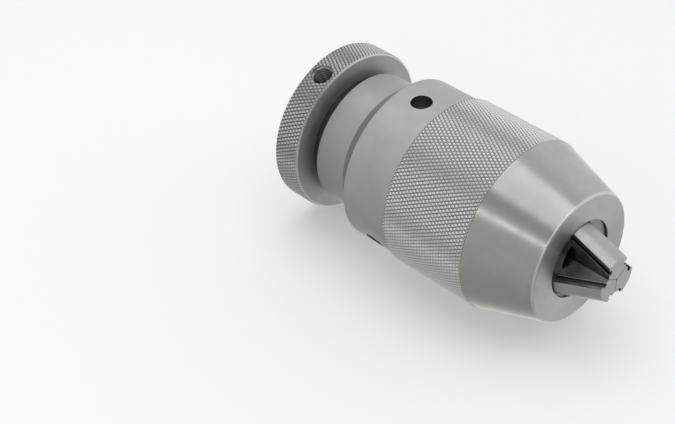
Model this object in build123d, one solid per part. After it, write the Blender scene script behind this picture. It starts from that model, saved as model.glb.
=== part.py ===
from build123d import *
from math import cos, radians, sin, sqrt, tan
import os

# Keyless drill chuck, 13 mm capacity, No. 33 short taper.
# X runs along the chuck axis towards the nose, Z is up, and the origin is the centre of the taper's mouth.
# The chuck is drawn with its jaws closed. Lengths are in mm and angles in degrees.

# Taper socket, No. 33 short chuck taper
TAPER_R_LARGE, TAPER_R_SMALL, TAPER_DEPTH = 7.925, 7.1185, 25.4

# Jaw motion
JAW_ANGLE = 20.0  # between a jaw's travel and the chuck axis
JAW_OPENING = 6.5  # radial travel of each jaw, for a 13 mm shank
TRAVEL = JAW_OPENING / tan(radians(JAW_ANGLE))  # axial travel of the feed screw
JAW_CLOCK = (90.0, 210.0, 330.0)
GAP_CLOCK = (30.0, 150.0, 270.0)

# Holding ring, its threaded hole, and the seat below that in the body
RING_R, RING_W, RING_BEVEL = 24.1, 8.6, 0.6
RING_HUB_R, RING_HUB_X = 17.0, 11.4
RING_HOLE_X, RING_HOLE_CLOCK, M6_CORE_R = 4.25, 113.7, 2.5
SEAT_R, SEAT_DEPTH = 3.0, 0.8

# Body
BODY_R, FLANGE_R, TUBE_R = 13.0, 17.4, 15.0
FLANGE_X0, FLANGE_X1, BODY_X1 = 24.0, 28.0, 50.4
THREAD_X0 = 26.6

# Feed thread, trapezoidal 22 x 3, left hand
PITCH = 3.0
SCREW_CREST_R, SCREW_ROOT_R = 11.0, 9.25
NUT_CREST_R, NUT_ROOT_R = 9.5, 11.25
GROOVE_MOUTH_W, GROOVE_ROOT_W = 2.2, 1.16
NUT_OUTER_R, RELIEF_R = 12.3, 11.45  # joint line of the threaded zone, and the run-out behind it

# Sleeve
NECK_X0, NECK_R = 11.7, 19.4
SLOPE_X0, BAND_X0, BAND_R = 22.1, 27.1, 24.1
KNURL_X0, KNURL_X1, KNURL_R = 42.3, 70.2, 25.0
JOURNAL_R, SLEEVE_BORE_R, FRONT_BORE_R, SPIGOT_R = 13.05, 17.45, 22.3, 22.8
FRONT_BORE_X = 49.0
SPANNER_X, SPANNER_R, SPANNER_DEPTH = 34.9, 3.0, 4.2
SPANNER_CLOCK = (95.5, 215.5, 335.5)

# Thrust bearing
RACE_A_X0, RACE_B_X1, RACE_W = 16.0, 24.0, 2.9
RACE_R0, RACE_R1 = 13.3, 17.35
BALL_N, BALL_R, BALL_X, BALL_PITCH_R, BALL_PLAY = 16, 1.5, 20.0, 15.25, 0.05
CAGE_W, CAGE_R0, CAGE_R1 = 1.4, 13.25, 17.25

# Washer and snap ring that hold the body in the sleeve
WASHER_W, WASHER_R0, WASHER_R1 = 0.65, 15.3, 17.3
CLIP_X0, CLIP_W, CLIP_R0, CLIP_R1, CLIP_GROOVE_R = 28.7, 1.2, 15.6, 18.5, 18.6
CLIP_GAP_DEG, CLIP_EYE_R = 24.0, 0.8

# Hood, jaw guide and dowels
HOOD_X0, HOOD_X1 = 62.2, 89.9
HOOD_REAR_R, HOOD_NOSE_R, HOOD_BORE_R = 24.75, 18.95, 21.0
MOUTH_R = 11.35
GUIDE_X0, GUIDE_SEAT_X, GUIDE_R, GUIDE_FACE_X = 77.2, 86.0, 17.0, 89.2
GUIDE_BORE_R, GUIDE_PLAY = 6.75, 0.05
DOWEL_R, DOWEL_L = 1.25, 6.0

# Jaws
TIP_X, JAW_REAR_X = 101.8, 76.7
TIP_R, JAW_HALF_W, GRIP_R, FLANK_PLAY = 6.45, 3.5, 0.2, 0.03
SLOT_PLAY = 0.1
GROOVE_U0, GROOVE_U1, GROOVE_DEPTH, RIB_PLAY = 3.3, 4.5, 0.9, 0.15
FOOT_U0, FOOT_U1, FOOT_NECK_HALF_W, FOOT_HEAD_HALF_W = 6.0, 14.0, 2.0, 3.2
FOOT_X0, FOOT_X1 = 70.6, 73.8

# Feed screw head
HEAD_X0, HEAD_X1, HEAD_R = 68.5, 76.5, 18.8
TSLOT_X0, TSLOT_X1, TSLOT_U0, TSLOT_PLAY = 70.5, 73.9, 5.7, 0.15


def turned(*points):
    """A solid of revolution about X from (x, radius) points."""
    return revolve(make_face(Polyline(*points, close=True)), Axis.X)


def bar(x0, x1, r, radius=0.0, clock=0.0):
    """A cylinder along X, its axis at a radius and clock angle from the chuck axis."""
    y, z = radius * cos(radians(clock)), radius * sin(radians(clock))
    low = (Align.CENTER, Align.CENTER, Align.MIN)
    return Pos(x0, y, z) * Rot(0, 90, 0) * Cylinder(r, x1 - x0, align=low)


def on_clock(shape, clock):
    """Turns a shape drawn straight up to a clock angle."""
    return Rot(clock - 90, 0, 0) * shape


def radial(x, z0, z1, r0, r1):
    """A cylinder or cone pointing straight up at x, from radius r0 at z0 to radius r1 at z1."""
    low = (Align.CENTER, Align.CENTER, Align.MIN)
    shape = Cylinder(r0, z1 - z0, align=low) if r0 == r1 else Cone(r0, r1, z1 - z0, align=low)
    return Pos(x, 0, z0) * shape


def block(x0, x1, half_w, z0, z1):
    """A box centred on Y = 0."""
    return Pos((x0 + x1) / 2, 0, (z0 + z1) / 2) * Box(x1 - x0, 2 * half_w, z1 - z0)


def thread_groove(x0, x1, r0, r1, w0, w1):
    """A left-hand helical groove from x0 to x1, w0 wide at radius r0 and w1 wide at radius r1."""
    path = Helix(pitch=PITCH, height=x1 - x0, radius=r0, lefthand=True)
    outline = [(0, -w0 / 2), (r1 - r0, -w1 / 2), (r1 - r0, w1 / 2), (0, w0 / 2)]
    across = Plane(origin=path @ 0, z_dir=path % 0, x_dir=(1, 0, 0))
    groove = sweep(across * make_face(Polyline(*outline, close=True)), path=path, is_frenet=True)
    return Pos(x0, 0, 0) * Rot(0, 90, 0) * groove


def slide_face(face, x0, x1):
    """Sweeps a face of the closed tip plane along a jaw's travel and trims it between x0 and x1."""
    ahead = x1 + 5.0 - TIP_X
    start = Pos(ahead, 0, -ahead * tan(radians(JAW_ANGLE))) * face
    reach = (x1 - x0 + 10.0) / cos(radians(JAW_ANGLE))
    run = extrude(start, amount=reach, dir=(-cos(radians(JAW_ANGLE)), 0, sin(radians(JAW_ANGLE))))
    return run & block(x0, x1, 60, -80, 80)


def back_face(half_w, back_r, z_low):
    """A section with straight sides and a round back, in the closed tip plane."""
    corner = sqrt(back_r**2 - half_w**2)
    left, right = (TIP_X, half_w, corner), (TIP_X, -half_w, corner)
    sides = Polyline(left, (TIP_X, half_w, z_low), (TIP_X, -half_w, z_low), right)
    back = ThreePointArc(right, (TIP_X, 0, back_r), left)
    return make_face([*sides.edges(), back.edge()])


def side_runs(play, x0, x1):
    """The two side grooves of a jaw, or with a play the ribs that run in them."""
    runs = []
    for side in (1, -1):
        deep, wide = side * (JAW_HALF_W - GROOVE_DEPTH + play), side * (JAW_HALF_W + 2.0)
        z0, z1 = GROOVE_U0 + play, GROOVE_U1 - play
        section = [(TIP_X, deep, z0), (TIP_X, wide, z0), (TIP_X, wide, z1), (TIP_X, deep, z1)]
        runs.append(slide_face(make_face(Polyline(*section, close=True)), x0, x1))
    return runs


def make_jaw(clock):
    """A jaw: 120 degree point, straight sides with guide grooves, sloping round back and T foot."""
    flank = tan(radians(60))
    start, knee = GRIP_R * flank - 2 * FLANK_PLAY, (JAW_HALF_W + 2 * FLANK_PLAY) / flank
    half = [(start, GRIP_R), (JAW_HALF_W, knee), (JAW_HALF_W, 40.0)]
    outline = [(JAW_REAR_X, y, z) for y, z in half] + [(JAW_REAR_X, -y, z) for y, z in reversed(half)]
    jaw = extrude(make_face(Polyline(*outline, close=True)), amount=TIP_X - JAW_REAR_X, dir=(1, 0, 0))
    jaw = jaw & slide_face(back_face(JAW_HALF_W + 1.0, TIP_R, -40.0), JAW_REAR_X, TIP_X)
    for groove in side_runs(0.0, JAW_REAR_X - 1, TIP_X + 1):
        jaw = jaw - groove
    jaw = jaw + block(FOOT_X1 - 0.5, JAW_REAR_X, FOOT_NECK_HALF_W, FOOT_U0, FOOT_U1)
    jaw = jaw + block(FOOT_X0, FOOT_X1, FOOT_HEAD_HALF_W, FOOT_U0, FOOT_U1)
    return on_clock(jaw, clock)


def make_body():
    """The body: taper socket at the rear, bearing flange, and a tube with the internal feed thread."""
    thread_x = THREAD_X0 + 2.8
    shell = turned(
        (0, TAPER_R_LARGE), (0, BODY_R - 0.5), (0.5, BODY_R), (FLANGE_X0, BODY_R), (FLANGE_X0, FLANGE_R),
        (FLANGE_X1, FLANGE_R), (FLANGE_X1, TUBE_R), (BODY_X1 - 0.6, TUBE_R), (BODY_X1, TUBE_R - 0.6),
        (BODY_X1, NUT_OUTER_R), (thread_x, NUT_OUTER_R), (thread_x, RELIEF_R), (THREAD_X0, RELIEF_R),
        (THREAD_X0, TAPER_R_SMALL), (TAPER_DEPTH, TAPER_R_SMALL),
    )
    groove = thread_groove(
        THREAD_X0 - PITCH / 2, BODY_X1 + PITCH, NUT_CREST_R - 0.2, NUT_ROOT_R, GROOVE_MOUTH_W, GROOVE_ROOT_W
    )
    nut = bar(thread_x, BODY_X1, NUT_OUTER_R) - groove - bar(THREAD_X0, BODY_X1 + 1, NUT_CREST_R)
    seat = radial(RING_HOLE_X, BODY_R - SEAT_DEPTH, BODY_R + 1, SEAT_R, SEAT_R)
    return shell + nut - on_clock(seat, RING_HOLE_CLOCK)


def make_feed_screw():
    """The feed screw: left-hand threaded shank, and a round head with three radial T slots."""
    x0, x1 = THREAD_X0 + 0.15 + TRAVEL, HEAD_X0 - 2.3
    groove = thread_groove(
        THREAD_X0 + 4 * PITCH, HEAD_X0 - 1, SCREW_ROOT_R, SCREW_CREST_R + 0.25, GROOVE_ROOT_W, GROOVE_MOUTH_W
    )
    shank = (bar(x0, x1, NUT_OUTER_R) - groove) & bar(x0 - 1, x1 + 1, SCREW_CREST_R)
    head = turned(
        (x1, 0), (x1, SCREW_ROOT_R - 0.2), (HEAD_X0, SCREW_ROOT_R - 0.2), (HEAD_X0, HEAD_R - 0.6),
        (HEAD_X0 + 0.6, HEAD_R), (HEAD_X1 - 0.4, HEAD_R), (HEAD_X1, HEAD_R - 0.4), (HEAD_X1, 0),
    )
    for clock in JAW_CLOCK:
        lip = block(TSLOT_X0 + 1, HEAD_X1 + 1, FOOT_NECK_HALF_W + TSLOT_PLAY, TSLOT_U0, HEAD_R + 2)
        cavity = block(TSLOT_X0, TSLOT_X1, FOOT_HEAD_HALF_W + TSLOT_PLAY, TSLOT_U0, HEAD_R + 2)
        head = head - on_clock(lip + cavity, clock)
    return head + shank


def make_holding_ring():
    """The rear hand ring, with its hub and the radial threaded hole."""
    ring = turned(
        (0, BODY_R), (0, RING_R - 0.4), (0.4, RING_R), (RING_W - RING_BEVEL, RING_R),
        (RING_W, RING_R - RING_BEVEL), (RING_W, RING_HUB_R), (RING_HUB_X, RING_HUB_R), (RING_HUB_X, BODY_R),
    )
    hole = radial(RING_HOLE_X, BODY_R - 2, RING_R + 2, M6_CORE_R, M6_CORE_R)
    mouth = radial(RING_HOLE_X, RING_R - 0.45, RING_R + 0.05, M6_CORE_R, M6_CORE_R + 0.5)
    return ring - on_clock(hole + mouth, RING_HOLE_CLOCK)


def make_sleeve():
    """The sleeve: neck, slope, plain band with spanner holes, knurled band, and bores for body and hood."""
    clip_x1 = CLIP_X0 + CLIP_W + 0.05
    sleeve = turned(
        (NECK_X0, JOURNAL_R), (NECK_X0, NECK_R - 0.3), (NECK_X0 + 0.3, NECK_R), (SLOPE_X0, NECK_R),
        (BAND_X0, BAND_R), (KNURL_X0, BAND_R), (KNURL_X0 + 0.6, KNURL_R), (KNURL_X1 - 0.2, KNURL_R),
        (KNURL_X1, KNURL_R - 0.2), (KNURL_X1, SPIGOT_R), (HOOD_X0, SPIGOT_R), (HOOD_X0, FRONT_BORE_R),
        (FRONT_BORE_X, FRONT_BORE_R), (FRONT_BORE_X, SLEEVE_BORE_R), (clip_x1, SLEEVE_BORE_R),
        (clip_x1, CLIP_GROOVE_R), (CLIP_X0, CLIP_GROOVE_R), (CLIP_X0, SLEEVE_BORE_R),
        (RACE_A_X0, SLEEVE_BORE_R), (RACE_A_X0, JOURNAL_R),
    )
    for clock in SPANNER_CLOCK:
        hole = radial(SPANNER_X, BAND_R - SPANNER_DEPTH, BAND_R + 2, SPANNER_R, SPANNER_R)
        mouth = radial(SPANNER_X, BAND_R - 0.4, BAND_R + 0.1, SPANNER_R - 0.2, SPANNER_R + 0.3)
        sleeve = sleeve - on_clock(hole + mouth, clock)
    return sleeve


def make_hood():
    """The hood: spigot in the sleeve, cone, nose edge, and a mouth that widens inwards behind the face."""
    inner = MOUTH_R + (HOOD_X1 - GUIDE_SEAT_X) * tan(radians(JAW_ANGLE))
    return turned(
        (HOOD_X0, HOOD_BORE_R), (HOOD_X0, SPIGOT_R), (KNURL_X1, SPIGOT_R), (KNURL_X1, HOOD_REAR_R - 0.3),
        (KNURL_X1 + 0.3, HOOD_REAR_R), (HOOD_X1 - 0.4, HOOD_NOSE_R), (HOOD_X1, HOOD_NOSE_R - 0.55),
        (HOOD_X1, MOUTH_R), (GUIDE_SEAT_X, inner), (GUIDE_SEAT_X, GUIDE_R), (GUIDE_X0 - 0.2, GUIDE_R),
        (GUIDE_X0 - 0.2, 19.3), (70.0, HOOD_BORE_R),
    ) - dowel_holes()


def dowel_holes():
    """The three dowel holes on the joint line of hood and guide."""
    return Compound(children=[bar(GUIDE_X0 - 1, GUIDE_X0 + DOWEL_L, DOWEL_R, GUIDE_R, c) for c in GAP_CLOCK])


def make_guide_dowels():
    """The three dowels that key the guide to the hood."""
    return Compound(children=[bar(GUIDE_X0, GUIDE_X0 + DOWEL_L, DOWEL_R, GUIDE_R, c) for c in GAP_CLOCK])


def make_jaw_guide():
    """The jaw guide: three sloping slots with side ribs, and a bore for the tool's shank."""
    slope = tan(radians(JAW_ANGLE))
    seat_r = MOUTH_R + (HOOD_X1 - GUIDE_SEAT_X) * slope - GUIDE_PLAY
    face_r = MOUTH_R + (HOOD_X1 - GUIDE_FACE_X) * slope - GUIDE_PLAY
    guide = turned(
        (GUIDE_X0, GUIDE_BORE_R), (GUIDE_X0, GUIDE_R), (GUIDE_SEAT_X, GUIDE_R), (GUIDE_SEAT_X, seat_r),
        (GUIDE_FACE_X, face_r), (GUIDE_FACE_X, GUIDE_BORE_R),
    )
    half_w = JAW_HALF_W + SLOT_PLAY
    slot = slide_face(back_face(half_w, TIP_R + SLOT_PLAY, -6.0), GUIDE_X0 - 1, GUIDE_FACE_X + 1)
    for rib in side_runs(RIB_PLAY, GUIDE_X0 - 1, GUIDE_FACE_X + 1):
        slot = slot - rib
    for clock in JAW_CLOCK:
        guide = guide - on_clock(slot, clock)
    return guide - dowel_holes()


def ball_track():
    """The torus the balls run in, with their play."""
    circle = Pos(BALL_X, BALL_PITCH_R, 0) * Circle(BALL_R + BALL_PLAY)
    return revolve(circle, Axis.X)


def make_races():
    """The rear race against the sleeve and the front race against the body's flange."""
    rear_x1, front_x0, front_r = RACE_A_X0 + RACE_W, RACE_B_X1 - RACE_W, RACE_R1 - 0.25
    rear = turned((RACE_A_X0, RACE_R0), (RACE_A_X0, RACE_R1), (rear_x1, RACE_R1), (rear_x1, RACE_R0))
    front = turned((front_x0, BODY_R), (front_x0, front_r), (RACE_B_X1, front_r), (RACE_B_X1, BODY_R))
    return rear - ball_track(), front - ball_track()


def make_balls():
    """The thrust bearing's balls."""
    ball = Pos(BALL_X, 0, BALL_PITCH_R) * Sphere(BALL_R)
    return Compound(children=[on_clock(ball, 360.0 * i / BALL_N) for i in range(BALL_N)])


def make_cage():
    """The ball cage."""
    x0, x1 = BALL_X - CAGE_W / 2, BALL_X + CAGE_W / 2
    cage = turned((x0, CAGE_R0), (x0, CAGE_R1), (x1, CAGE_R1), (x1, CAGE_R0))
    for i in range(BALL_N):
        cage = cage - bar(x0 - 1, x1 + 1, BALL_R + BALL_PLAY, BALL_PITCH_R, 360.0 * i / BALL_N)
    return cage


def make_washer():
    """The thrust washer in front of the body's flange."""
    x1 = FLANGE_X1 + WASHER_W
    return turned((FLANGE_X1, WASHER_R0), (FLANGE_X1, WASHER_R1), (x1, WASHER_R1), (x1, WASHER_R0))


def make_clip():
    """The open snap ring with a plier eye on each side of its gap."""
    x1 = CLIP_X0 + CLIP_W
    ring = turned((CLIP_X0, CLIP_R0), (CLIP_X0, CLIP_R1), (x1, CLIP_R1), (x1, CLIP_R0))
    half = radians(CLIP_GAP_DEG / 2)
    reach = 2 * CLIP_R1
    points = [(CLIP_X0 - 1, 0, 0), (CLIP_X0 - 1, -reach * sin(half), reach * cos(half)),
              (CLIP_X0 - 1, reach * sin(half), reach * cos(half))]
    ring = ring - extrude(make_face(Polyline(*points, close=True)), amount=CLIP_W + 2, dir=(1, 0, 0))
    for clock in (90 - CLIP_GAP_DEG / 2 - 5, 90 + CLIP_GAP_DEG / 2 + 5):
        ring = ring - bar(CLIP_X0 - 1, x1 + 1, CLIP_EYE_R, (CLIP_R0 + CLIP_R1) / 2, clock)
    return ring


race_rear, race_front = make_races()
nodes = {
    "body": make_body(),
    "holding_ring": make_holding_ring(),
    "knurled_sleeve": make_sleeve(),
    "hood": make_hood(),
    "jaw_guide": make_jaw_guide(),
    "guide_dowels": make_guide_dowels(),
    "jaw_top": make_jaw(JAW_CLOCK[0]),
    "jaw_left": make_jaw(JAW_CLOCK[1]),
    "jaw_right": make_jaw(JAW_CLOCK[2]),
    "feed_screw": make_feed_screw(),
    "race_rear": race_rear,
    "race_front": race_front,
    "bearing_balls": make_balls(),
    "ball_cage": make_cage(),
    "thrust_washer": make_washer(),
    "snap_ring": make_clip(),
}
os.makedirs("parts", exist_ok=True)
for name, shape in nodes.items():
    export_step(shape, f"parts/{name}.step")
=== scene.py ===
from math import atan2, cos, hypot, pi, radians, sin, tan

import bmesh
import bpy
from mathutils import Matrix, Vector


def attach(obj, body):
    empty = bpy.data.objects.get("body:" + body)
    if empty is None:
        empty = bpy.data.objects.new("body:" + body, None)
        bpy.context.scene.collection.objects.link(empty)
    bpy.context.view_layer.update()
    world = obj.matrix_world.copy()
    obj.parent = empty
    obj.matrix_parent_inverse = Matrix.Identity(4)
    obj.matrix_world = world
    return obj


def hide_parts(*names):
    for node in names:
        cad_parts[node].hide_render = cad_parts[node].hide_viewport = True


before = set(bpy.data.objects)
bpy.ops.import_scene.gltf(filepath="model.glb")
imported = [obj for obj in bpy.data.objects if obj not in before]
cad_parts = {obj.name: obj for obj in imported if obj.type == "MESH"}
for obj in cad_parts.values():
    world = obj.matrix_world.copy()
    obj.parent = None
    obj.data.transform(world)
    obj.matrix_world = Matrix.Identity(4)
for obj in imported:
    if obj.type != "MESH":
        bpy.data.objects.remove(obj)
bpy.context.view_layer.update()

# Keyless drill chuck. X runs along its axis towards the nose, Z is up, and clock angles turn from +Y to +Z.
# The sizes below are in mm and degrees. Functions take angles in radians.
MM = 0.001
AHEAD = Vector((1, 0, 0))        # along the axis, towards the nose
AROUND = 256                     # facets round a turned surface
CORNER_STEPS = 3                 # facets across a softened corner
CORNER_SHARE = 0.4               # most of an outline's edge that a softened corner may take

# Knurls
KNURL_DEPTH = 0.30
KNURL_FLAT = 0.42                # share of each diamond that stays flat on top
KNURL_LEAN = 30.0                # of the grooves, from the axis

# Knurled sleeve, from rear to front
NECK_X0, NECK_R, NECK_CHAMFER = 11.7, 19.4, 0.3
SLOPE_X0, BAND_X0, BAND_R = 22.1, 27.1, 24.1
KNURL_X0, KNURL_X1, SLEEVE_R = 42.3, 70.2, 25.0
SLEEVE_END_R = 24.8
JOURNAL_R, SLEEVE_BORE_X, SLEEVE_BORE_R = 13.05, 16.0, 17.45
CLIP_X0, CLIP_X1, CLIP_GROOVE_R = 28.7, 29.95, 18.6
FRONT_BORE_X, FRONT_BORE_R = 49.0, 22.3
SPIGOT_X, SPIGOT_R = 62.2, 22.8  # where the hood is pressed in
SLEEVE_EASE = 0.16
SLEEVE_OUTLINE = [(KNURL_X1, SLEEVE_END_R), (KNURL_X1, SPIGOT_R), (SPIGOT_X, SPIGOT_R),
                  (SPIGOT_X, FRONT_BORE_R), (FRONT_BORE_X, FRONT_BORE_R), (FRONT_BORE_X, SLEEVE_BORE_R),
                  (CLIP_X1, SLEEVE_BORE_R), (CLIP_X1, CLIP_GROOVE_R), (CLIP_X0, CLIP_GROOVE_R),
                  (CLIP_X0, SLEEVE_BORE_R), (SLEEVE_BORE_X, SLEEVE_BORE_R), (SLEEVE_BORE_X, JOURNAL_R),
                  (NECK_X0, JOURNAL_R), (NECK_X0, NECK_R - NECK_CHAMFER), (NECK_X0 + NECK_CHAMFER, NECK_R),
                  (SLOPE_X0, NECK_R), (BAND_X0, BAND_R), (KNURL_X0, BAND_R)]
SLEEVE_STARTS = 139              # grooves each way round the knurl
SLEEVE_KNURL_X = (42.36, 70.12)
SLEEVE_BEVEL_X = 70.06
SLEEVE_CAP = [(KNURL_X0, BAND_R), (42.9, SLEEVE_R), (SLEEVE_BEVEL_X, SLEEVE_R), (KNURL_X1, 24.86)]

# The sleeve's spanner holes
SPANNER_X, SPANNER_R, SPANNER_FLOOR_R = 34.9, 3.0, 19.9
SPANNER_CLOCKS = (95.5, 215.5, 335.5)
SPANNER_MOUTH = [(23.85, SPANNER_R), (24.4, 3.5)]

# Holding ring
RING_R, RING_W = 24.1, 8.6
RING_HUB_X, RING_HUB_R, RING_BORE_R = 11.4, 17.0, 13.0
RING_EASE = 0.12
RING_OUTLINE = [(RING_W, 23.44), (RING_W, RING_HUB_R), (RING_HUB_X, RING_HUB_R), (RING_HUB_X, RING_BORE_R),
                (0.0, RING_BORE_R), (0.0, 23.64)]
RING_STARTS = 132
RING_KNURL_X = (0.06, 8.54)
RING_BEVEL_X, RING_BEVEL_R = 8.0, 23.5
RING_CAP = [(0.0, 23.7), (0.4, RING_R), (RING_BEVEL_X, RING_R), (RING_W, RING_BEVEL_R)]

# The ring's threaded hole, M6
RING_HOLE_X, RING_HOLE_CLOCK, RING_HOLE_FLOOR_R = 4.25, 113.7, 12.03
THREAD_CORE_R, THREAD_MAJOR_R, THREAD_PITCH = 2.5, 3.0, 1.0
THREAD_SLOPE = 2.4               # its flanks' rise over a pitch, in thread depths
THREAD_FLAT = 0.1                # what its flat root takes off that rise, in thread depths
RING_MOUTH = [(23.55, THREAD_MAJOR_R), (24.35, 3.4)]

# Hood
HOOD_X1, HOOD_BEVEL_X, HOOD_NOSE_R = 89.9, 89.4, 18.55
MOUTH_R, GUIDE_SEAT_X, GUIDE_SEAT_R, GUIDE_R = 11.35, 86.0, 12.77, 17.0
HOOD_BORE_X, HOOD_BORE_R = 70.0, 21.0
GUIDE_ROOM_X, GUIDE_ROOM_R = 77.0, 19.3
HOOD_EASE = 0.22
HOOD_OUTLINE = [(SPIGOT_X, HOOD_BORE_R), (SPIGOT_X, SPIGOT_R), (KNURL_X1, SPIGOT_R), (KNURL_X1, 24.75),
                (70.25, 24.8), (HOOD_BEVEL_X, 18.98), (HOOD_X1, HOOD_NOSE_R), (HOOD_X1, MOUTH_R),
                (GUIDE_SEAT_X, GUIDE_SEAT_R), (GUIDE_SEAT_X, GUIDE_R), (GUIDE_ROOM_X, GUIDE_R),
                (GUIDE_ROOM_X, GUIDE_ROOM_R), (HOOD_BORE_X, HOOD_BORE_R)]
DOWEL_R, DOWEL_X = 1.25, (77.2, 83.2)
DOWEL_CLOCKS = (30.0, 150.0, 270.0)

# Jaws
JAW_CLOCKS = {"jaw_top": 90.0, "jaw_left": 210.0, "jaw_right": 330.0}
JAW_TIP_X, JAW_LEAN, JAW_HALF_W, JAW_EASE = 101.8, 20.0, 3.5, 0.1
GROOVE_LOW, GROOVE_HIGH = 3.3, 4.5  # the side grooves' height above the axis at the tip

# Shading: where two faces meet at more than this, the edge stays hard
SHELL_SHARP, HOOD_SHARP, JAW_SHARP = 32.0, 50.0, 28.0
FACE_WEIGHT = 60                 # how much large faces rule the shading near them

# Which faces get a further metal: how far past a surface they may lie, and how large a part of their normal
# has to point the right way
SKIN = 0.1
LEAN = 0.3
SLEEVE_BEVEL_LEAN, HOOD_BEVEL_LEAN = 0.41, 0.33
JAW_TIP_LEAN = 0.75


# ---------------------------------------------------------------- mesh code

def point(x, r, turn):
    """A point at x along the axis, r from it, turn radians round from +Y towards +Z, in metres."""
    return Vector((x, r * cos(turn), r * sin(turn))) * MM


def height_at(outline, x):
    """The radius of an outline that runs along x."""
    for (xa, ra), (xb, rb) in zip(outline, outline[1:]):
        if xa <= x <= xb:
            return ra + (rb - ra) * (x - xa) / (xb - xa)
    return outline[0][1] if x < outline[0][0] else outline[-1][1]


def softened(outline, radius, closed):
    """The outline with each corner turned into a small curve."""
    count, out = len(outline), []
    for i, here in enumerate(outline):
        if not closed and i in (0, count - 1):
            out.append(here)
            continue
        p, a, b = Vector(here), Vector(outline[i - 1]), Vector(outline[(i + 1) % count])
        back, on = a - p, b - p
        reach = min(radius, CORNER_SHARE * back.length, CORNER_SHARE * on.length)
        start, end = p + back.normalized() * reach, p + on.normalized() * reach
        for k in range(CORNER_STEPS + 1):
            t = k / CORNER_STEPS
            q = start * (1 - t) ** 2 + p * 2 * t * (1 - t) + end * t ** 2
            out.append((q.x, q.y))
    return out


def strip(bm, one, two):
    """Joins two closed rings of as many vertices with a band of faces."""
    band = []
    for i in range(len(one)):
        j = (i + 1) % len(one)
        band.append(bm.faces.new((one[i], one[j], two[j], two[i])))
    return band


def turned(bm, outline, closed):
    """Turns an outline round the axis. Returns its rings of vertices."""
    rings = [[bm.verts.new(point(x, r, 2 * pi * i / AROUND)) for i in range(AROUND)] for x, r in outline]
    for one, two in zip(rings, rings[1:] + rings[:1] if closed else rings[1:]):
        strip(bm, one, two)
    return rings


def stitched(bm, one, two):
    """Joins two closed rings of vertices that have different counts, walking round by angle."""
    def turn(v):
        return atan2(v.co.z, v.co.y) % (2 * pi)

    one, two = sorted(one, key=turn), sorted(two, key=turn)
    n, m = len(one), len(two)
    i = j = 0
    while i < n or j < m:
        ahead_one = turn(one[(i + 1) % n]) + (2 * pi if i + 1 >= n else 0)
        ahead_two = turn(two[(j + 1) % m]) + (2 * pi if j + 1 >= m else 0)
        if j >= m or (i < n and ahead_one <= ahead_two):
            bm.faces.new((one[i % n], one[(i + 1) % n], two[j % m]))
            i += 1
        else:
            bm.faces.new((one[i % n], two[(j + 1) % m], two[j % m]))
            j += 1


def diamonds(bm, radius, starts, span):
    """Flat-topped diamonds in rows round the axis, reaching a little past a span of x."""
    step_turn = pi / starts
    step_x = radius * step_turn / tan(radians(KNURL_LEAN))
    middle = (span[0] + span[1]) / 2
    spare = 3
    reach = int((span[1] - span[0]) / 2 / step_x) + spare
    wrap = 2 * starts
    valley = {}

    def corner(k, m):
        m %= wrap
        if (k, m) not in valley:
            valley[k, m] = bm.verts.new(point(middle + k * step_x, radius - KNURL_DEPTH, m * step_turn))
        return valley[k, m]

    for k in range(-reach, reach + 1):
        for m in range(k % 2, wrap, 2):
            low = [corner(k + 1, m), corner(k, m - 1), corner(k - 1, m), corner(k, m + 1)]
            top = [bm.verts.new(point(middle + (k + dk * KNURL_FLAT) * step_x, radius,
                                      (m + dm * KNURL_FLAT) * step_turn))
                   for dk, dm in ((1, 0), (0, -1), (-1, 0), (0, 1))]
            strip(bm, low, top)
            bm.faces.new(top)


def knurled(bm, radius, starts, span, cap):
    """A diamond knurl over a span of x, kept under the outline cap. Returns its two end rings."""
    def slice_at(x, side):
        geometry = bm.verts[:] + bm.edges[:] + bm.faces[:]
        bmesh.ops.bisect_plane(bm, geom=geometry, dist=1e-9, plane_co=AHEAD * x * MM, plane_no=AHEAD,
                               clear_outer=side > 0, clear_inner=side < 0)

    diamonds(bm, radius, starts, span)
    slice_at(span[0], -1)
    slice_at(span[1], 1)
    for x, _ in cap[1:-1]:
        slice_at(x, 0)
    for v in bm.verts:
        x, r = v.co.x / MM, hypot(v.co.y, v.co.z) / MM
        limit = height_at(cap, x)
        if r > limit:
            v.co.y *= limit / r
            v.co.z *= limit / r
    return [[v for v in bm.verts if v.is_boundary and abs(v.co.x / MM - x) < SKIN] for x in span]


def linked(name, bm, *slots):
    """The mesh as an object in the scene, with those metals."""
    mesh = bpy.data.meshes.new(name)
    for slot in slots:
        mesh.materials.append(metals[slot])
    bm.to_mesh(mesh)
    bm.free()
    obj = bpy.data.objects.new(name, mesh)
    bpy.context.collection.objects.link(obj)
    return obj


def piece(name, bm, body, node, slot):
    """The mesh as a piece that rides on a body and stands for a CAD node."""
    obj = linked(name, bm, slot)
    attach(obj, body)
    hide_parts(node)
    return obj


def finished(obj, sharp):
    """Smooth faces, flat areas that stay flat, and hard edges where two faces meet at over sharp degrees."""
    mesh = obj.data
    bm = bmesh.new()
    bm.from_mesh(mesh)
    for f in bm.faces:
        f.smooth = True
    for e in bm.edges:
        e.smooth = len(e.link_faces) == 2 and e.calc_face_angle(pi) < radians(sharp)
    bm.to_mesh(mesh)
    bm.free()
    even = obj.modifiers.new("even", "WEIGHTED_NORMAL")
    even.keep_sharp = True
    even.weight = FACE_WEIGHT


def loop_round(centre, one, two, radii):
    """Points round a centre in the plane of two directions, each at its own radius."""
    turns = [2 * pi * i / len(radii) for i in range(len(radii))]
    return [centre + one * r * cos(a) + two * r * sin(a) for a, r in zip(turns, radii)]


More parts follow.
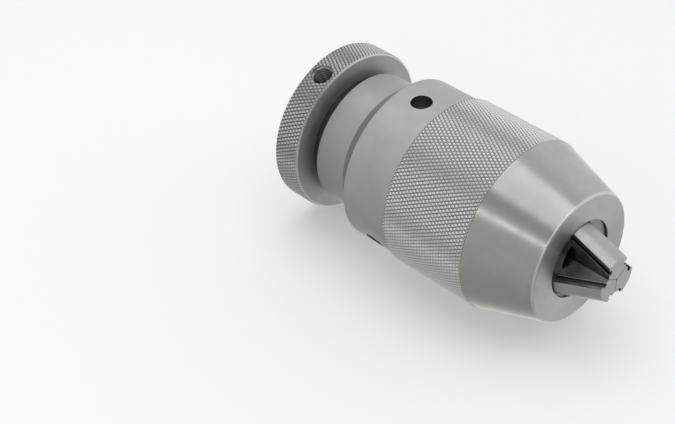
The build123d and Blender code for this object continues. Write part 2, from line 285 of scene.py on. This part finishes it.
def cutter(loops, wall, rim):
    """A closed cutting solid through loops of points.

    Its last band leaves the metal rim in the hole, and the rest leaves wall."""
    bm = bmesh.new()
    loops = [[bm.verts.new(spot * MM) for spot in loop] for loop in loops]
    for one, two in zip(loops, loops[1:]):
        band = strip(bm, one, two)
        if two is loops[-1]:
            for face in band:
                face.material_index = 1
    bm.faces.new(loops[0])
    bm.faces.new(loops[-1])
    bmesh.ops.recalc_face_normals(bm, faces=bm.faces)
    return linked("cutter", bm, wall, rim)


def radial_cutter(rings, x, clock, wall, rim):
    """A cutting solid on a line out from the axis, through rings given as (distance, radii round)."""
    out = Vector((0, cos(clock), sin(clock)))
    across = AHEAD.cross(out)
    start = Vector((x, 0, 0))
    loops = [loop_round(start + out * distance, AHEAD, across, radii) for distance, radii in rings]
    return cutter(loops, wall, rim)


def drill(floor, r, mouth, x, clock, count=72):
    """A blind round hole with a countersunk mouth, given as (distance, radius) at its two ends."""
    rings = [(distance, [radius] * count) for distance, radius in [(floor, r), *mouth]]
    # The walls get painted shade and the mouth a painted highlight
    return radial_cutter(rings, x, clock, "drilled_shade_steel", "edge_highlight_steel")


def tap(floor, mouth, x, clock, count=48, per_pitch=10):
    """The solid that a tapped hole leaves: a core with a helical ridge round it, and a countersunk mouth."""
    rings = []
    for k in range(int((mouth[0][0] - floor) / THREAD_PITCH * per_pitch)):
        distance = floor + k * THREAD_PITCH / per_pitch
        radii = []
        for i in range(count):
            phase = (distance / THREAD_PITCH + i / count) % 1
            ridge = min(1, max(0, THREAD_SLOPE * min(phase, 1 - phase) - THREAD_FLAT))
            radii.append(THREAD_CORE_R + (THREAD_MAJOR_R - THREAD_CORE_R) * ridge)
        rings.append((distance, radii))
    rings += [(distance, [radius] * count) for distance, radius in mouth]
    # The thread gets painted shade
    return radial_cutter(rings, x, clock, "thread_shade_steel", "satin_steel")


def dowel_hole(clock, count=40):
    """A closed round bar parallel to the axis, in the seam between the hood and its guide."""
    centre = Vector((0, GUIDE_R * cos(clock), GUIDE_R * sin(clock)))
    loops = [loop_round(centre + AHEAD * x, Vector((0, 1, 0)), Vector((0, 0, 1)), [DOWEL_R] * count)
             for x in DOWEL_X]
    return cutter(loops, "turned_steel", "turned_steel")


def painted(obj, metal, chosen):
    """Gives a further metal to the faces that chosen(x, r, normal, outward) picks.

    x and r are the place of the face's centre in mm, and outward points away from the axis there."""
    mesh = obj.data
    mesh.materials.append(metals[metal])
    index = len(mesh.materials) - 1
    for face in mesh.polygons:
        c = face.center / MM
        if chosen(c.x, hypot(c.y, c.z), face.normal, Vector((0, c.y, c.z)).normalized()):
            face.material_index = index


def baked(obj):
    """Applies the object's modifiers."""
    bpy.context.view_layer.update()
    evaluated = obj.evaluated_get(bpy.context.evaluated_depsgraph_get())
    mesh = bpy.data.meshes.new_from_object(evaluated)
    obj.modifiers.clear()
    obj.data = mesh


def cut(obj, *tools):
    """Cuts the tools out of the object, and leaves their metals on the walls."""
    for t in tools:
        m = obj.modifiers.new("cut", "BOOLEAN")
        m.operation, m.solver, m.object = "DIFFERENCE", "EXACT", t
        m.material_mode = "TRANSFER"
    baked(obj)
    for t in tools:
        bpy.data.objects.remove(t)


# ---------------------------------------------------------------- pieces

def knurled_shell(name, knurl, outline, body, node):
    """A satin shell: a knurl outside, and an outline turned round from its front end to its rear end."""
    bm = bmesh.new()
    rear, front = knurled(bm, *knurl)
    rings = turned(bm, outline, closed=False)
    stitched(bm, front, rings[0])
    stitched(bm, rings[-1], rear)
    return piece(name, bm, body, node, "satin_steel")


def make_sleeve():
    """The sleeve, with its spanner holes, its rear face painted dark as shade, its satin neck and slope
    painted darker as shade, its satin band, its knurl painted brighter as light, and its front bevel painted
    bright as a highlight.
    """
    knurl = (SLEEVE_R, SLEEVE_STARTS, SLEEVE_KNURL_X, SLEEVE_CAP)
    outline = softened(SLEEVE_OUTLINE, SLEEVE_EASE, closed=False)
    obj = knurled_shell("sleeve_shell", knurl, outline, "sleeve", "knurled_sleeve")
    cut(obj, *[drill(SPANNER_FLOOR_R, SPANNER_R, SPANNER_MOUTH, SPANNER_X, radians(clock))
               for clock in SPANNER_CLOCKS])

    def rear_face(x, r, n, out):
        return x < NECK_X0 + SKIN and r < NECK_R - NECK_CHAMFER - SLEEVE_EASE

    def neck(x, r, n, out):
        return NECK_X0 + NECK_CHAMFER - SKIN < x < SLOPE_X0 + SKIN and abs(r - NECK_R) < 2 * SKIN

    def slope(x, r, n, out):
        return SLOPE_X0 < x < BAND_X0 and r > NECK_R - SKIN and n.x < -LEAN

    def knurl_faces(x, r, n, out):
        return KNURL_X0 + SKIN < x < KNURL_X1 - SKIN / 2 and r > BAND_R + 2 * SKIN

    def front_bevel(x, r, n, out):
        return x > SLEEVE_BEVEL_X and r > SLEEVE_END_R - 2 * SKIN and n.x > SLEEVE_BEVEL_LEAN

    # Painted shade on the rear face, neck and slope, painted light on the knurl, and a painted highlight on
    # the front bevel
    painted(obj, "painted_shade_steel", rear_face)
    painted(obj, "neck_shade_steel", neck)
    painted(obj, "slope_shade_steel", slope)
    painted(obj, "knurl_steel", knurl_faces)
    painted(obj, "edge_highlight_steel", front_bevel)
    finished(obj, SHELL_SHARP)


def make_ring():
    """The ring, with its threaded hole painted dark as shade, its hub face painted dark as shade, its knurled
    rim painted dark in the grooves as shade, and its front bevel painted bright as a highlight.
    """
    knurl = (RING_R, RING_STARTS, RING_KNURL_X, RING_CAP)
    outline = softened(RING_OUTLINE, RING_EASE, closed=False)
    obj = knurled_shell("ring_shell", knurl, outline, "spindle", "holding_ring")
    cut(obj, tap(RING_HOLE_FLOOR_R, RING_MOUTH, RING_HOLE_X, radians(RING_HOLE_CLOCK)))

    def hub(x, r, n, out):
        return x > RING_W - SKIN and r < RING_HUB_R + 2 * SKIN

    def rim(x, r, n, out):
        return SKIN / 2 < x < RING_W - SKIN / 2 and r > RING_BEVEL_R and n.dot(out) > LEAN

    def front_bevel(x, r, n, out):
        return x > RING_BEVEL_X + SKIN / 2 and r > RING_BEVEL_R - SKIN and n.x > LEAN

    # Painted shade on the hub face and in the rim's grooves, and a painted highlight on the front bevel
    painted(obj, "painted_shade_steel", hub)
    painted(obj, "rim_steel", rim)
    painted(obj, "edge_highlight_steel", front_bevel)
    finished(obj, SHELL_SHARP)


def make_hood():
    """The turned hood, with its dowel holes, its mouth painted brighter as light, and its nose bevel painted
    bright as a highlight.
    """
    bm = bmesh.new()
    turned(bm, softened(HOOD_OUTLINE, HOOD_EASE, closed=True), closed=True)
    obj = piece("hood_shell", bm, "sleeve", "hood", "turned_steel")
    cut(obj, *[dowel_hole(radians(c)) for c in DOWEL_CLOCKS])

    def mouth(x, r, n, out):
        inside = r < GUIDE_SEAT_R + 2 * SKIN and n.dot(out) < -LEAN
        return inside and GUIDE_SEAT_X - SKIN < x < HOOD_X1 - SKIN

    def nose_bevel(x, r, n, out):
        return x > HOOD_BEVEL_X - 2 * SKIN and r > HOOD_NOSE_R - SKIN and n.x > HOOD_BEVEL_LEAN

    # Painted light in the mouth and a painted highlight on the nose bevel
    painted(obj, "bore_painted_light", mouth)
    painted(obj, "edge_highlight_steel", nose_bevel)
    finished(obj, HOOD_SHARP)


def make_jaw(node, clock):
    """A jaw with its crisp edges eased, its flanks painted dark as shade and its side grooves painted black
    as shade.
    """
    up = Vector((0, cos(clock), sin(clock)))
    side = Vector((0, -sin(clock), cos(clock)))

    def inner(x, r, n, out):
        return n.dot(up) < LEAN and n.x < JAW_TIP_LEAN

    def in_groove(x, r, n, out):
        level = r * out.dot(up) - (JAW_TIP_X - x) * tan(radians(JAW_LEAN))
        sunk = abs(r * out.dot(side)) < JAW_HALF_W - SKIN / 2
        return GROOVE_LOW - SKIN < level < GROOVE_HIGH + SKIN and sunk and n.x < JAW_TIP_LEAN

    bm = bmesh.new()
    bm.from_mesh(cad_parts[node].data)
    bmesh.ops.remove_doubles(bm, verts=bm.verts, dist=0.002 * MM)
    bmesh.ops.dissolve_limit(bm, angle_limit=radians(1.0), verts=bm.verts, edges=bm.edges)
    obj = piece(node + "_eased", bm, node, node, "ground_steel")
    m = obj.modifiers.new("ease", "BEVEL")
    m.width, m.segments, m.limit_method = JAW_EASE * MM, 2, "ANGLE"
    m.angle_limit = radians(JAW_SHARP)
    m.use_clamp_overlap = True
    baked(obj)
    # Painted shade on the flanks and in the side grooves
    painted(obj, "jaw_flank_shade", inner)
    painted(obj, "painted_shade_steel", in_groove)
    finished(obj, JAW_SHARP)


# ---------------------------------------------------------------- materials

class Recipe:
    """A small helper for writing a node material. The colour and roughness given here lie under its noise."""

    def __init__(self, name, colour, rough, metal=1.0):
        self.material = bpy.data.materials.new(name)
        self.material.use_nodes = True
        self.tree = self.material.node_tree
        self.shader = self.tree.nodes["Principled BSDF"]
        self.shader.inputs["Metallic"].default_value = metal
        self.shader.inputs["Base Color"].default_value = (*colour, 1)
        self.shader.inputs["Roughness"].default_value = rough
        self.coords = self.add("ShaderNodeTexCoord").outputs["Object"]

    def add(self, kind, **values):
        node = self.tree.nodes.new(kind)
        for key, value in values.items():
            setattr(node, key, value)
        return node

    def link(self, a, b):
        self.tree.links.new(a, b)

    def noise(self, scale, detail, rough, source=None):
        """Noise with about scale bumps per metre, one number or one for each axis."""
        place = self.add("ShaderNodeMapping")
        place.inputs["Scale"].default_value = scale if isinstance(scale, tuple) else (scale,) * 3
        self.link(source or self.coords, place.inputs["Vector"])
        node = self.add("ShaderNodeTexNoise")
        node.inputs["Scale"].default_value = 1.0
        node.inputs["Detail"].default_value = detail
        node.inputs["Roughness"].default_value = rough
        self.link(place.outputs["Vector"], node.inputs["Vector"])
        return node.outputs["Fac"]

    def multiply_add(self, value, factor, onto):
        node = self.add("ShaderNodeMath", operation="MULTIPLY_ADD")
        node.inputs[1].default_value = factor
        self.link(value, node.inputs[0])
        self.link(onto, node.inputs[2])
        return node.outputs[0]

    def lathe_coords(self):
        """(x with a trace of z, distance from the axis, 0), so that noise runs in rings."""
        split = self.add("ShaderNodeSeparateXYZ")
        self.link(self.coords, split.inputs[0])
        length = self.add("ShaderNodeVectorMath", operation="LENGTH")
        flat = self.add("ShaderNodeCombineXYZ")
        self.link(split.outputs["Y"], flat.inputs["Y"])
        self.link(split.outputs["Z"], flat.inputs["Z"])
        self.link(flat.outputs[0], length.inputs[0])
        trace = 0.003
        joined = self.add("ShaderNodeCombineXYZ")
        self.link(self.multiply_add(split.outputs["Z"], trace, split.outputs["X"]), joined.inputs["X"])
        self.link(length.outputs["Value"], joined.inputs["Y"])
        return joined.outputs[0]

    def from_axis(self, rings, value, wander):
        """The distance from the axis in metres, which a noise value adds up to wander to."""
        split = self.add("ShaderNodeSeparateXYZ")
        self.link(rings, split.inputs[0])
        return self.multiply_add(value, wander, split.outputs["Y"])

    def spread(self, value, start, end, low, high):
        """The value, moved from the range start to end into the range low to high."""
        node = self.add("ShaderNodeMapRange")
        for key, v in zip(("From Min", "From Max", "To Min", "To Max"), (start, end, low, high)):
            node.inputs[key].default_value = v
        self.link(value, node.inputs["Value"])
        return node.outputs["Result"]

    def ramp(self, value, stops):
        """The base colour, from (place, colour) stops along a value."""
        node = self.add("ShaderNodeValToRGB")
        set_stops(node, stops)
        self.link(value, node.inputs["Fac"])
        self.link(node.outputs["Color"], self.shader.inputs["Base Color"])

    def shades(self, value, level, share, tint=(1.0, 1.0, 1.0), places=(0.3, 0.5, 0.7)):
        """One metal a share darker, as it is, and a share lighter, at those places along a value."""
        levels = [level * (1 - share), level, level * (1 + share)]
        self.ramp(value, [(place, tuple(k * t for t in tint)) for place, k in zip(places, levels)])

    def roughness(self, value, low, high):
        """The roughness, from low to high over the middle of a noise value's range."""
        self.link(self.spread(value, 0.3, 0.7, low, high), self.shader.inputs["Roughness"])

    def bump(self, *layers):
        """layers are (value, depth in mm); each is laid on the one before."""
        normal = None
        for value, depth in layers:
            node = self.add("ShaderNodeBump")
            node.inputs["Strength"].default_value = 1.0
            node.inputs["Distance"].default_value = depth * MM
            self.link(value, node.inputs["Height"])
            if normal is not None:
                self.link(normal, node.inputs["Normal"])
            normal = node.outputs["Normal"]
        self.link(normal, self.shader.inputs["Normal"])

    def grooved(self, amount):
        """Highlights drawn out across fine grooves that run round the X axis."""
        quarter = 0.25
        self.shader.inputs["Anisotropic"].default_value = amount
        self.shader.inputs["Anisotropic Rotation"].default_value = quarter
        node = self.add("ShaderNodeTangent", direction_type="RADIAL", axis="X")
        self.link(node.outputs["Tangent"], self.shader.inputs["Tangent"])


def set_stops(ramp_node, stops):
    """Gives a colour ramp its (place, colour) stops."""
    elements = ramp_node.color_ramp.elements
    while len(elements) < len(stops):
        elements.new(0.5)
    for e, (place, colour) in zip(elements, stops):
        e.position = place
        e.color = (*colour, 1)


def blasted(name, level, smoothest, roughest):
    """Steel blasted to an even satin, with a fine grain."""
    r = Recipe(name, (level,) * 3, smoothest)
    r.shades(r.noise(95, 5, 0.6), level, 0.06, (0.995, 1.0, 1.0), (0.3, 0.5, 0.72))
    r.roughness(r.noise(140, 6, 0.65), smoothest, roughest)
    r.bump((r.noise(3200, 3, 0.6), 0.010), (r.noise(900, 2, 0.5), 0.010))
    return r.material


def satin_steel():
    return blasted("satin_steel", 0.56, 0.54, 0.64)


# Satin painted darker as shade on the neck
def neck_shade_steel():
    return blasted("neck_shade_steel", 0.50, 0.54, 0.64)


# Satin painted darker as shade on the slope, which faces back
def slope_shade_steel():
    return blasted("slope_shade_steel", 0.43, 0.40, 0.50)


def turned_steel():
    """The hood: fine turned rings under a soft shine."""
    r = Recipe("turned_steel", (0.5, 0.5, 0.49), 0.3)
    rings = r.lathe_coords()
    # The slight green in the tint is a painted reflection of the surroundings
    r.shades(r.noise(260, 5, 0.62), 0.52, 0.05, (0.99, 1.0, 0.968), (0.3, 0.52, 0.75))
    r.roughness(r.noise(120, 5, 0.6), 0.28, 0.38)
    r.bump((r.noise((4500, 4500, 1), 3, 0.6, rings), 0.0012), (r.noise(1500, 2, 0.5), 0.0008))
    r.grooved(0.85)
    return r.material


def edge_highlight_steel():
    """Painted highlight on the narrow bevels, which handling also wears bright."""
    r = Recipe("edge_highlight_steel", (0.69, 0.69, 0.68), 0.3)
    r.shades(r.noise(300, 4, 0.6), 0.69, 0.05, (1.0, 1.0, 0.985))
    r.roughness(r.noise(240, 4, 0.6), 0.26, 0.38)
    return r.material


def ground_steel():
    """The jaws' backs and tips, ground lengthwise."""
    r = Recipe("ground_steel", (0.5, 0.5, 0.49), 0.3)
    r.shades(r.noise((160, 700, 700), 4, 0.6), 0.50, 0.07, (1.0, 1.0, 0.98))
    r.roughness(r.noise((90, 900, 900), 4, 0.6), 0.32, 0.46)
    r.bump((r.noise((500, 9000, 9000), 3, 0.65), 0.003), (r.noise(1800, 3, 0.5), 0.002))
    return r.material


def knurl_metal(name, radius, groove, crest):
    """Metal on a knurl, painted lighter on the flats as highlight and darker down in the grooves as shade."""
    floor, top = radius - KNURL_DEPTH + 0.05, radius + 0.01
    r = Recipe(name, (crest,) * 3, 0.32)
    height = r.from_axis(r.lathe_coords(), r.noise(120, 5, 0.65), 0.06 * MM)
    rise = r.spread(height, floor * MM, top * MM, 0, 1)
    levels = [(0.0, groove), (0.45, (groove + crest) / 2), (0.9, crest)]
    r.ramp(rise, [(place, (level,) * 3) for place, level in levels])
    r.roughness(r.noise(160, 5, 0.65), 0.27, 0.38)
    r.bump((r.noise(2600, 3, 0.6), 0.004))
    return r.material


# The sleeve's knurl is painted lighter as light, and the ring's rim darker as shade
def knurl_steel():
    return knurl_metal("knurl_steel", SLEEVE_R, 0.43, 0.73)


def rim_steel():
    return knurl_metal("rim_steel", RING_R, 0.31, 0.56)


def thread_shade_steel():
    """The ring's thread, painted dark as the shade inside its hole."""
    r = Recipe("thread_shade_steel", (0.2, 0.2, 0.2), 0.34)
    r.shades(r.noise(800, 5, 0.65), 0.13, 0.25, (0.97, 1.0, 0.98), (0.3, 0.55, 0.8))
    r.roughness(r.noise(900, 4, 0.6), 0.28, 0.42)
    r.bump((r.noise(2600, 3, 0.6), 0.004))
    return r.material


def drilled_shade_steel():
    """The walls of the spanner holes, painted dark as the shade inside them."""
    r = Recipe("drilled_shade_steel", (0.27, 0.28, 0.27), 0.4)
    r.shades(r.noise(650, 5, 0.65), 0.27, 0.25, (0.94, 1.0, 0.96), (0.3, 0.55, 0.8))
    r.roughness(r.noise(900, 4, 0.6), 0.34, 0.48)
    r.bump((r.noise(2600, 3, 0.6), 0.005))
    return r.material


def painted_shade_steel():
    """Painted shade: dark steel on the faces between the ring and the sleeve, and in the jaws' grooves."""
    r = Recipe("painted_shade_steel", (0.1, 0.105, 0.1), 0.42)
    r.shades(r.noise(650, 5, 0.65), 0.10, 0.22, (0.97, 1.0, 0.98), (0.3, 0.55, 0.8))
    r.roughness(r.noise(900, 4, 0.6), 0.38, 0.55)
    r.bump((r.noise(2600, 3, 0.6), 0.006))
    return r.material


def bore_painted_light():
    """The hood's mouth, painted brighter than the hood as light in its shaded wall."""
    r = Recipe("bore_painted_light", (0.21, 0.21, 0.2), 0.34)
    rings = r.lathe_coords()
    r.shades(r.noise(240, 5, 0.6), 0.62, 0.2, (0.97, 1.0, 0.98), (0.3, 0.5, 0.72))
    r.roughness(r.noise(220, 4, 0.6), 0.28, 0.42)
    r.bump((r.noise((4500, 4500, 1), 3, 0.6, rings), 0.002))
    return r.material


def jaw_flank_shade():
    """The jaws' flanks and undersides, painted dark as the shade between the jaws."""
    r = Recipe("jaw_flank_shade", (0.2, 0.2, 0.195), 0.3)
    r.shades(r.noise((160, 800, 800), 4, 0.6), 0.13, 0.3, (0.96, 1.0, 0.98))
    r.roughness(r.noise((120, 900, 900), 4, 0.6), 0.24, 0.38)
    r.bump((r.noise((500, 7000, 7000), 3, 0.65), 0.002))
    return r.material


def guide_steel():
    """The jaw guide, painted dark at its bore as shade, bright just outside that as light, and dimmer towards
    the hood.
    """
    r = Recipe("guide_steel", (0.4, 0.4, 0.39), 0.34)
    rings = r.lathe_coords()
    distance = r.from_axis(rings, r.noise(700, 4, 0.6), 1.6 * MM)
    r.ramp(r.spread(distance, 6.8 * MM, 9.6 * MM, 0, 1),
           [(0.0, (0.06, 0.063, 0.06)), (0.3, (0.46, 0.47, 0.455)), (1.0, (0.29, 0.295, 0.285))])
    r.roughness(r.noise(300, 4, 0.6), 0.28, 0.42)
    r.bump((r.noise((5200, 5200, 1), 3, 0.6, rings), 0.002))
    return r.material


def body_steel():
    """The body and the feed screw, turned and lightly oiled."""
    r = Recipe("body_steel", (0.3, 0.3, 0.3), 0.36)
    rings = r.lathe_coords()
    r.shades(r.noise(180, 5, 0.6), 0.34, 0.10, (1.0, 0.99, 0.97), (0.3, 0.5, 0.72))
    r.roughness(r.noise(220, 4, 0.6), 0.3, 0.44)
    r.bump((r.noise((5200, 5200, 1), 3, 0.6, rings), 0.003), (r.noise(1500, 2, 0.5), 0.002))
    r.grooved(0.4)
    return r.material


def bearing_steel():
    """Hardened and polished: balls, races and dowels."""
    r = Recipe("bearing_steel", (0.6, 0.6, 0.6), 0.12)
    r.shades(r.noise(300, 4, 0.6), 0.6, 0.04)
    r.roughness(r.noise(260, 4, 0.6), 0.08, 0.18)
    r.bump((r.noise(4200, 2, 0.5), 0.0006))
    return r.material


def spring_steel():
    """The snap ring, nearly black."""
    r = Recipe("spring_steel", (0.06, 0.06, 0.07), 0.42, metal=0.85)
    r.shades(r.noise(400, 5, 0.6), 0.07, 0.3, (0.95, 0.97, 1.05), (0.3, 0.55, 0.8))
    r.roughness(r.noise(500, 4, 0.6), 0.34, 0.52)
    r.bump((r.noise(3000, 3, 0.6), 0.004))
    return r.material


def cage_brass():
    r = Recipe("cage_brass", (0.7, 0.5, 0.2), 0.28)
    r.shades(r.noise(220, 5, 0.6), 0.72, 0.08, (1.0, 0.72, 0.34), (0.3, 0.5, 0.75))
    r.roughness(r.noise(260, 4, 0.6), 0.22, 0.38)
    r.bump((r.noise(2600, 3, 0.6), 0.003))
    return r.material


def bronze():
    """The thrust washer."""
    r = Recipe("bronze", (0.5, 0.3, 0.16), 0.36)
    rings = r.lathe_coords()
    r.shades(r.noise(200, 5, 0.6), 0.52, 0.1, (1.0, 0.62, 0.34), (0.3, 0.5, 0.75))
    r.roughness(r.noise(240, 4, 0.6), 0.3, 0.46)
    r.bump((r.noise((4600, 4600, 1), 3, 0.6, rings), 0.003))
    return r.material


def dress(obj, material):
    """Gives the object that material alone."""
    obj.data.materials.clear()
    obj.data.materials.append(material)


# ---------------------------------------------------------------- stage, in metres

CAMERA_PLACE, CAMERA_AIM = (0.2896, -0.2886, 0.2823), (-0.5595, 0.559, -0.6115)
SENSOR_W, LENS = 36.0, 91.55     # mm

FLOOR_HALF, FLOOR_GAP = 3.0, 0.0002
FLOOR_WHITE, FLOOR_GLOW = 0.92, 0.22

# The sky's brightness from straight down (0) to straight up (1)
SKY = [(0.0, 0.40), (0.03, 0.42), (0.2, 0.50), (0.43, 0.54), (0.65, 0.55), (0.88, 0.56), (1.0, 0.36)]

# What the sky gains or loses: a direction, the cosines between which the change fades in, and the change
SKY_CHANGES = [
    ((0, 1, 0), -0.15, 0.45, 0.27),            # lighter on the chuck's far side
    ((-0.56, 0.56, -0.61), 0.80, 0.98, 0.40),  # lighter where the camera looks
    ((1, 0, 0.05), 0.70, 0.95, -0.45),         # darker in front of the nose
    ((-0.95, 0.25, -0.2), 0.80, 0.95, -0.5),   # darker behind the ring
]

# Soft panels: clock angle, distance, width, length, brightness
PANELS = {"overhead": (93.5, 0.9, 0.78, 1.6, 0.76), "edge_strip": (145.2, 0.8, 0.062, 1.5, 1.6)}
PANEL_X = 0.05


def camera():
    data = bpy.data.cameras.new("camera")
    data.sensor_width, data.lens = SENSOR_W, LENS
    cam = bpy.data.objects.new("camera", data)
    bpy.context.collection.objects.link(cam)
    cam.location = CAMERA_PLACE
    cam.rotation_mode = "QUATERNION"
    cam.rotation_quaternion = Vector(CAMERA_AIM).to_track_quat("-Z", "Y")
    bpy.context.scene.camera = cam


def panel(name, clock, distance, across, length, brightness):
    """A soft light parallel to the chuck, which looks that bright from it."""
    data = bpy.data.lights.new(name, "AREA")
    data.shape, data.size, data.size_y = "RECTANGLE", length, across
    data.energy = brightness * pi * length * across
    lamp = bpy.data.objects.new(name, data)
    out = Vector((0, cos(clock), sin(clock)))
    turn = Matrix((AHEAD, out.cross(AHEAD), out)).transposed()
    lamp.matrix_world = Matrix.Translation(out * distance + AHEAD * PANEL_X) @ turn.to_4x4()
    lamp.visible_camera = False
    bpy.context.collection.objects.link(lamp)


def sky():
    """Light from all round, shaped by direction."""
    world = bpy.data.worlds.new("studio")
    bpy.context.scene.world = world
    world.use_nodes = True
    tree = world.node_tree
    direction = tree.nodes.new("ShaderNodeTexCoord").outputs["Generated"]

    def plus(a, b):
        node = tree.nodes.new("ShaderNodeMath")
        node.operation = "ADD"
        tree.links.new(a, node.inputs[0])
        tree.links.new(b, node.inputs[1])
        return node.outputs[0]

    def towards(axis, start, end, amount):
        """The amount in directions near axis, fading in between two cosines."""
        dot = tree.nodes.new("ShaderNodeVectorMath")
        dot.operation = "DOT_PRODUCT"
        tree.links.new(direction, dot.inputs[0])
        dot.inputs[1].default_value = Vector(axis).normalized()
        fade = tree.nodes.new("ShaderNodeMapRange")
        fade.interpolation_type = "SMOOTHSTEP"
        for key, value in zip(("From Min", "From Max", "To Min", "To Max"), (start, end, 0, amount)):
            fade.inputs[key].default_value = value
        tree.links.new(dot.outputs["Value"], fade.inputs["Value"])
        return fade.outputs[0]

    ramp = tree.nodes.new("ShaderNodeValToRGB")
    tree.links.new(towards((0, 0, 1), -1, 1, 1), ramp.inputs["Fac"])
    set_stops(ramp, [(place, (level,) * 3) for place, level in SKY])
    level = ramp.outputs["Color"]
    for change in SKY_CHANGES:
        level = plus(level, towards(*change))
    tree.links.new(level, tree.nodes["Background"].inputs["Color"])


def floor():
    """A white floor that the chuck lies on, and that doesn't mirror in it."""
    z = -SLEEVE_R * MM - FLOOR_GAP
    mesh = bpy.data.meshes.new("floor")
    corners = [(x * FLOOR_HALF, y * FLOOR_HALF, z) for x, y in ((-1, -1), (1, -1), (1, 1), (-1, 1))]
    mesh.from_pydata(corners, [], [(0, 1, 2, 3)])
    obj = bpy.data.objects.new("floor", mesh)
    bpy.context.collection.objects.link(obj)
    r = Recipe("floor_white", (FLOOR_WHITE,) * 3, 0.9, metal=0.0)
    r.shader.inputs["Specular IOR Level"].default_value = 0.1
    r.shader.inputs["Emission Color"].default_value = (1, 1, 1, 1)
    r.shader.inputs["Emission Strength"].default_value = FLOOR_GLOW
    r.ramp(r.noise(3, 2, 0.5), [(0.3, (FLOOR_WHITE - 0.005,) * 3), (0.7, (FLOOR_WHITE + 0.005,) * 3)])
    dress(obj, r.material)
    obj.visible_glossy = False
    obj.visible_shadow = False


# ---------------------------------------------------------------- the chuck

camera()
sky()
for name, (clock, *sizes) in PANELS.items():
    panel(name, radians(clock), *sizes)
floor()
bpy.context.scene.view_settings.view_transform = "Standard"

METALS = (satin_steel, neck_shade_steel, slope_shade_steel, turned_steel, edge_highlight_steel, ground_steel, knurl_steel,
          rim_steel, thread_shade_steel, drilled_shade_steel, painted_shade_steel, bore_painted_light, jaw_flank_shade, guide_steel, body_steel,
          bearing_steel, spring_steel, cage_brass, bronze)
metals = {make.__name__: make() for make in METALS}
METAL_NODES = {
    "satin_steel": ("holding_ring", "knurled_sleeve"),
    "turned_steel": ("hood",),
    "ground_steel": tuple(JAW_CLOCKS),
    "guide_steel": ("jaw_guide",),
    "body_steel": ("body", "feed_screw"),
    "bearing_steel": ("race_rear", "race_front", "bearing_balls", "guide_dowels"),
    "cage_brass": ("ball_cage",),
    "bronze": ("thrust_washer",),
    "spring_steel": ("snap_ring",),
}
for metal, nodes in METAL_NODES.items():
    for node in nodes:
        dress(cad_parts[node], metals[metal])

make_sleeve()
make_ring()
make_hood()
for node, clock in JAW_CLOCKS.items():
    make_jaw(node, radians(clock))
